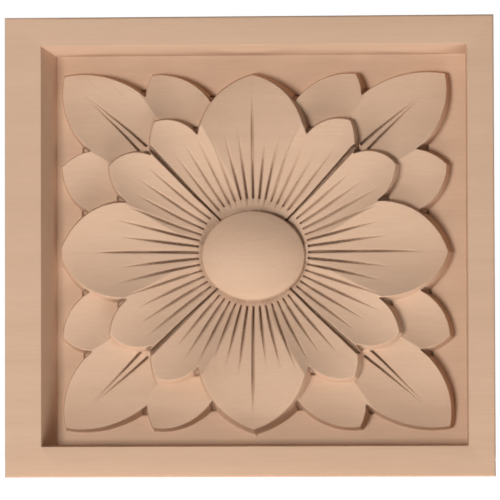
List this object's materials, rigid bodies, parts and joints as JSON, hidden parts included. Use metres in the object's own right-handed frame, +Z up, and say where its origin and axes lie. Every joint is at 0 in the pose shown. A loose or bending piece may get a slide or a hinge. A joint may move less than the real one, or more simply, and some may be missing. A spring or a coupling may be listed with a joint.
{
  "type": "corner rosette block",
  "caption": "Square wooden trim block with a sunk panel and a carved rosette: pointed petals and corner leaves around a domed button; set where casings meet.",
  "frame": {"origin": "centre of the flat back face", "axes": "+Z up as mounted on a wall, +X to the right seen from the front, carved face looks along -Y"},
  "size_m": [0.108, 0.022, 0.1016],
  "materials": {
    "wood": "bare fine-grained hardwood, sanded, satin-matte"
  },
  "bodies": {
    "root": {"rosette_block": "wood"}
  },
  "joints": []
}
